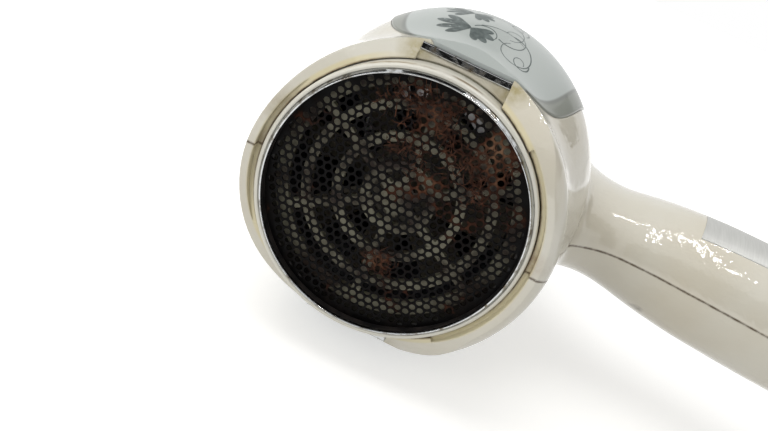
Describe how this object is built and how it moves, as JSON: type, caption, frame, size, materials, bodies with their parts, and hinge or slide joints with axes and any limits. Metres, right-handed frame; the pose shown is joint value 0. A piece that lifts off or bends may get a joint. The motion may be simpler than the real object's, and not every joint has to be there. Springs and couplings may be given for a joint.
{
  "type": "hair dryer",
  "caption": "Hand-held hair dryer with a pull-off intake filter, glossy side panels, pistol handle, slide switch and a round nozzle seat.",
  "frame": {"origin": "on the barrel axis, at the middle of the nozzle seat", "axes": "+Y along the barrel towards the outlet, +X down the handle, +Z across the body (the dryer lies on its side)"},
  "size_m": [0.2412, 0.15, 0.0974],
  "materials": {
    "ivory_plastic": "gloss, slightly yellowed",
    "chrome": "polished",
    "black_mesh": "matt black",
    "black_plastic": "matt",
    "guard_plastic": "satin, dusty",
    "panel_plastic": "high gloss with a printed flourish",
    "silver_foil": "brushed foil label, blank",
    "dark_plastic": "satin",
    "grey_plastic": "satin gloss",
    "duct_plastic": "satin",
    "fan_plastic": "satin",
    "motor_steel": "plated",
    "core_steel": "laminated",
    "copper": "enamelled wire",
    "magnet": "sintered",
    "bronze": "sintered",
    "carbon": "graphite",
    "rubber": "moulded",
    "mica": "laminated mica sheet",
    "nichrome": "drawn wire",
    "circuit_board": "phenolic board",
    "screw_steel": "zinc plated",
    "red_lead": "silicone insulation"
  },
  "bodies": {
    "dryer": {"housing_left": "ivory_plastic", "housing_right": "ivory_plastic", "housing_screws": "screw_steel", "side_panel_right": "panel_plastic", "side_panel_left": "panel_plastic", "side_trim_right": "chrome", "side_trim_left": "chrome", "rating_plate": "silver_foil", "intake_guard": "guard_plastic", "fan_duct": "duct_plastic", "motor_damper": "rubber", "motor_can": "motor_steel", "motor_end_cap": "dark_plastic", "motor_bushes": "bronze", "motor_magnets": "magnet", "motor_brushes": "carbon", "rectifier_board": "circuit_board", "rectifier_diodes": "black_plastic", "heater_sleeve": "mica", "mica_board_a": "mica", "mica_board_b": "mica", "heater_windings": "nichrome", "thermostat": "motor_steel", "thermal_fuse": "motor_steel", "outlet_ring": "dark_plastic", "outlet_grille": "dark_plastic", "switch_plate": "grey_plastic", "power_switch": "black_plastic", "cool_switch": "black_plastic", "heater_lead_a": "red_lead", "heater_lead_b": "red_lead", "handle_cap": "ivory_plastic", "cord_gland": "rubber", "cord_clamp": "dark_plastic", "clamp_screws": "screw_steel"},
    "filter_cover": {"filter_cover": "ivory_plastic", "chrome_bezel": "chrome", "mesh_seat": "black_plastic", "mesh_retainer": "black_plastic", "filter_mesh": "black_mesh"},
    "rotor": {"fan_impeller": "fan_plastic", "motor_shaft": "motor_steel", "armature_core": "core_steel", "armature_windings": "copper", "commutator": "copper"},
    "power_slider": {"power_slider": "dark_plastic"},
    "cool_button": {"cool_button": "grey_plastic"}
  },
  "joints": [
    {"name": "filter_cover_pull", "type": "slide", "parent": "dryer", "child": "filter_cover", "axis": [0, -1, 0], "range_m": [0, 0.014]},
    {"name": "rotor_spin", "type": "hinge", "parent": "dryer", "child": "rotor", "pos_m": [0, -0.119, 0], "axis": [0, 1, 0], "continuous": true},
    {"name": "power_slide", "type": "slide", "parent": "dryer", "child": "power_slider", "axis": [0.9887, -0.1496, 0], "range_m": [0, 0.01]},
    {"name": "cool_press", "type": "slide", "parent": "dryer", "child": "cool_button", "axis": [-0.1496, -0.9887, 0], "range_m": [0, 0.002], "stiffness_N_per_m": 300}
  ]
}
